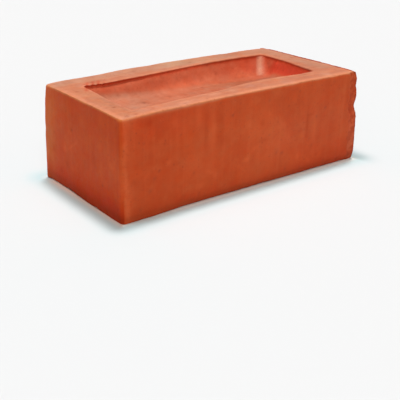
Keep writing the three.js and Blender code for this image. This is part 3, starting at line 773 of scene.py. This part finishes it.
# ------------------------------------------------------------------ floor
floor_mesh = bpy.data.meshes.new("floor")
S = 6.0
floor_mesh.from_pydata([(-S, -S, 0), (S, -S, 0), (S, S, 0), (-S, S, 0)], [], [(0, 1, 2, 3)])
floor = bpy.data.objects.new("floor", floor_mesh)
bpy.context.scene.collection.objects.link(floor)
floor_with_painted_shade = bpy.data.materials.new("floor_with_painted_shade")
floor_with_painted_shade.use_nodes = True
fb = floor_with_painted_shade.node_tree.nodes["Principled BSDF"]
ft = floor_with_painted_shade.node_tree
place = ft.nodes.new("ShaderNodeTexCoord")
apart = ft.nodes.new("ShaderNodeSeparateXYZ")
ft.links.new(place.outputs["Object"], apart.inputs[0])


def floor_calc(op, a, b=0.0):
    n = ft.nodes.new("ShaderNodeMath")
    n.operation = op
    for k, val in enumerate((a, b)):
        if isinstance(val, (int, float)):
            n.inputs[k].default_value = val
        else:
            ft.links.new(val, n.inputs[k])
    return n.outputs[0]


# painted on the floor next to the brick: less red, taking out the red light the brick throws there
dx_ = floor_calc("MAXIMUM", floor_calc("SUBTRACT", floor_calc("ABSOLUTE", apart.outputs["X"]), 0.115), 0.0)
dy_ = floor_calc("MAXIMUM", floor_calc("SUBTRACT", floor_calc("ABSOLUTE", apart.outputs["Y"]), 0.055), 0.0)
away = floor_calc("SQRT", floor_calc("ADD", floor_calc("MULTIPLY", dx_, dx_), floor_calc("MULTIPLY", dy_, dy_)))
near_half = ft.nodes.new("ShaderNodeMapRange")
near_half.interpolation_type = "SMOOTHSTEP"
for k, val in (("From Min", 0.054), ("From Max", 0.040), ("To Min", 0.0), ("To Max", 1.0)):
    near_half.inputs[k].default_value = val
ft.links.new(apart.outputs["Y"], near_half.inputs["Value"])
close_by = floor_calc("MULTIPLY", floor_calc("EXPONENT", floor_calc("MULTIPLY", away, -520.0)), near_half.outputs["Result"])
painted_warmth = floor_calc("MULTIPLY", floor_calc("EXPONENT", floor_calc("MULTIPLY", away, -230.0)), near_half.outputs["Result"])
under_end = floor_calc("GREATER_THAN", floor_calc("ABSOLUTE", apart.outputs["X"]), 0.1120)
under_end = floor_calc("MULTIPLY", under_end, floor_calc("LESS_THAN", floor_calc("ABSOLUTE", apart.outputs["Y"]), 0.0550))
end = floor_calc("MAXIMUM", floor_calc("DIVIDE", dx_, away), under_end)
around = floor_calc("EXPONENT", floor_calc("MULTIPLY", away, -14.0))
off = floor_calc("DIVIDE", floor_calc("SUBTRACT", away, 0.0085), 0.0075)
middle = floor_calc("EXPONENT", floor_calc("MULTIPLY", floor_calc("MULTIPLY", off, off), -1.0))
less = floor_calc("ADD", floor_calc("MULTIPLY", middle, 0.095), floor_calc("MULTIPLY", around, 0.072))
less = floor_calc("SUBTRACT", less, floor_calc("MULTIPLY", close_by, 0.10))
off2 = floor_calc("DIVIDE", floor_calc("SUBTRACT", away, 0.0050), 0.0028)
less = floor_calc("ADD", less, floor_calc("MULTIPLY", floor_calc("EXPONENT", floor_calc("MULTIPLY", floor_calc("MULTIPLY", off2, off2), -1.0)), 0.06))
# painted shadow: a little darker right beside the headers and along the front by the smooth header, less towards the
# back
beside = ft.nodes.new("ShaderNodeMapRange")
beside.interpolation_type = "SMOOTHSTEP"
for k, val in (("From Min", 0.003), ("From Max", 0.018), ("To Min", 0.19), ("To Max", 0.0)):
    beside.inputs[k].default_value = val
ft.links.new(away, beside.inputs["Value"])
corner = ft.nodes.new("ShaderNodeMapRange")
corner.interpolation_type = "SMOOTHSTEP"
for k, val in (("From Min", -0.055), ("From Max", -0.112), ("To Min", 0.0), ("To Max", 0.9)):
    corner.inputs[k].default_value = val
ft.links.new(apart.outputs["X"], corner.inputs["Value"])
where = floor_calc("MAXIMUM", floor_calc("DIVIDE", dx_, away), corner.outputs["Result"])
where = floor_calc("MULTIPLY", where, floor_calc("SUBTRACT", 1.0, floor_calc("MULTIPLY", floor_calc("GREATER_THAN", apart.outputs["X"], 0.115), 0.5)))
back_half = ft.nodes.new("ShaderNodeMapRange")
back_half.interpolation_type = "SMOOTHSTEP"
for k, val in (("From Min", -0.010), ("From Max", 0.050), ("To Min", 1.0), ("To Max", 0.35)):
    back_half.inputs[k].default_value = val
ft.links.new(apart.outputs["Y"], back_half.inputs["Value"])
painted_floor_shading = floor_calc("SUBTRACT", 1.0, floor_calc("MULTIPLY", floor_calc("MULTIPLY", beside.outputs["Result"], back_half.outputs["Result"]), where))
# painted shadow: wider past the torn end
wide = ft.nodes.new("ShaderNodeMapRange")
wide.interpolation_type = "SMOOTHSTEP"
for k, val in (("From Min", 0.006), ("From Max", 0.026), ("To Min", 0.16), ("To Max", 0.0)):
    wide.inputs[k].default_value = val
ft.links.new(away, wide.inputs["Value"])
torn_end = floor_calc("MULTIPLY", floor_calc("GREATER_THAN", apart.outputs["X"], 0.115), floor_calc("DIVIDE", dx_, away))
painted_floor_shading = floor_calc("MULTIPLY", painted_floor_shading, floor_calc("SUBTRACT", 1.0, floor_calc("MULTIPLY", wide.outputs["Result"], torn_end)))
# painted light: paler right at the front's foot, lifting the shade there, less so by the headers; 0.70 elsewhere
painted_floor_shading = floor_calc("MULTIPLY", painted_floor_shading, floor_calc("ADD", 0.70, floor_calc("MULTIPLY", close_by, floor_calc("SUBTRACT", 0.20, floor_calc("MULTIPLY", end, 0.12)))))
# painted reflection: warmer beside the smooth header, as the red light off it, and a little less blue next to the
# brick's front half
smooth_end = floor_calc("MULTIPLY", floor_calc("MULTIPLY", floor_calc("LESS_THAN", apart.outputs["X"], -0.1), end), painted_warmth)
warm_g = floor_calc("SUBTRACT", 1.0, floor_calc("MULTIPLY", smooth_end, 0.25))
warm_b = floor_calc("SUBTRACT", floor_calc("SUBTRACT", 1.0, floor_calc("MULTIPLY", smooth_end, 0.30)), floor_calc("MULTIPLY", painted_warmth, 0.08))
join = ft.nodes.new("ShaderNodeCombineColor")
ft.links.new(floor_calc("MULTIPLY", floor_calc("SUBTRACT", 1.0, less), painted_floor_shading), join.inputs[0])
ft.links.new(floor_calc("MULTIPLY", floor_calc("MULTIPLY", floor_calc("SUBTRACT", 1.0, floor_calc("MULTIPLY", less, 0.1)), painted_floor_shading), warm_g), join.inputs[1])
ft.links.new(floor_calc("MULTIPLY", painted_floor_shading, warm_b), join.inputs[2])
ft.links.new(join.outputs[0], fb.inputs["Base Color"])
fb.inputs["Roughness"].default_value = 1.0
fb.inputs["Specular IOR Level"].default_value = 0.0
floor_mesh.materials.append(floor_with_painted_shade)
floor.location.z = -0.00005

# a plain pale wall all round, far off: it shows behind the brick from low angles, and neither lights nor shades anything
ring = [(5.6 * math.cos(math.tau * k / 96), 5.6 * math.sin(math.tau * k / 96)) for k in range(96)]
wall_mesh = bpy.data.meshes.new("backdrop")
wall_mesh.from_pydata([(a, b, -0.01) for a, b in ring] + [(a, b, 5.0) for a, b in ring], [],
                      [(k, (k + 1) % 96, (k + 1) % 96 + 96, k + 96) for k in range(96)])
backdrop = bpy.data.objects.new("backdrop", wall_mesh)
bpy.context.scene.collection.objects.link(backdrop)
pale_wall = bpy.data.materials.new("pale_wall")
pale_wall.use_nodes = True
bt = pale_wall.node_tree
bt.nodes.clear()
glow = bt.nodes.new("ShaderNodeEmission")
glow.inputs["Color"].default_value = (0.94, 0.945, 0.945, 1.0)
glow.inputs["Strength"].default_value = 1.0
bt.links.new(glow.outputs[0], bt.nodes.new("ShaderNodeOutputMaterial").inputs["Surface"])
wall_mesh.materials.append(pale_wall)
for rays in ("diffuse", "glossy", "transmission", "volume_scatter", "shadow"):
    setattr(backdrop, "visible_" + rays, False)

# ------------------------------------------------------------------ light: a dim room with a bright horizon, a soft key from the front, a small one overhead
world = bpy.data.worlds.new("studio")
bpy.context.scene.world = world
world.use_nodes = True
wt = world.node_tree
sky = wt.nodes["Background"]
way = wt.nodes.new("ShaderNodeTexCoord")
split = wt.nodes.new("ShaderNodeSeparateXYZ")
level = wt.nodes.new("ShaderNodeMapRange")
level.interpolation_type = "SMOOTHSTEP"
for k, val in (("From Min", 0.03), ("From Max", 0.30), ("To Min", 0.43), ("To Max", 0.067)):
    level.inputs[k].default_value = val
wt.links.new(way.outputs["Generated"], split.inputs[0])
wt.links.new(split.outputs["Z"], level.inputs["Value"])
wt.links.new(level.outputs["Result"], sky.inputs["Strength"])
sky.inputs["Color"].default_value = (1, 1, 1, 1)


def sun(name, azimuth, elevation, strength, angle):
    """A distant soft light; azimuth from the front stretcher's side, towards the torn header."""
    a_, e_ = math.radians(azimuth), math.radians(elevation)
    back = np.array([math.sin(a_) * math.cos(e_), -math.cos(a_) * math.cos(e_), math.sin(e_)])
    right = np.cross((0, 0, 1), back)
    right = right / np.linalg.norm(right)
    up = np.cross(back, right)
    lamp = bpy.data.lights.new(name, "SUN")
    lamp.energy = strength * math.pi
    lamp.angle = math.radians(angle)
    ob = bpy.data.objects.new(name, lamp)
    m = Matrix.Identity(4)
    for k in range(3):
        m[k][0], m[k][1], m[k][2], m[k][3] = right[k], up[k], back[k], back[k]
    ob.matrix_world = m
    bpy.context.scene.collection.objects.link(ob)


sun("key", -35, 44, 0.36, 34)
sun("overhead", 124, 80.5, 0.62, 9)
sun("overhead_left", 250, 77.3, 0.28, 11)
sun("ceiling", 0, 89.5, 0.135, 60)

# ------------------------------------------------------------------ camera
FOCUS, YAW, PITCH, ROLL, AWAY = 772.010, -38.2070, 23.2053, 1.1060, 0.634094
TARGET = np.array([-0.005587, 0.0, -0.027590])
ya, pi_, ro = (math.radians(k) for k in (YAW, PITCH, ROLL))
back = np.array([math.sin(ya) * math.cos(pi_), -math.cos(ya) * math.cos(pi_), math.sin(pi_)])
right = np.cross((0, 0, 1), back)
right /= np.linalg.norm(right)
up = np.cross(back, right)
cam = bpy.data.cameras.new("camera")
cam.sensor_width = 36.0
cam.lens = FOCUS / 400.0 * 36.0
cam.clip_start, cam.clip_end = 0.01, 50.0
camera = bpy.data.objects.new("camera", cam)
m = Matrix.Identity(4)
columns_ = (math.cos(ro) * right + math.sin(ro) * up, -math.sin(ro) * right + math.cos(ro) * up, back, TARGET + back * AWAY)
for r_ in range(3):
    for c_ in range(4):
        m[r_][c_] = columns_[c_][r_]
camera.matrix_world = m
bpy.context.scene.collection.objects.link(camera)
bpy.context.scene.camera = camera

view = bpy.context.scene.view_settings
view.view_transform = "Standard"
view.look = "None"
view.exposure = 0.0
view.gamma = 1.0
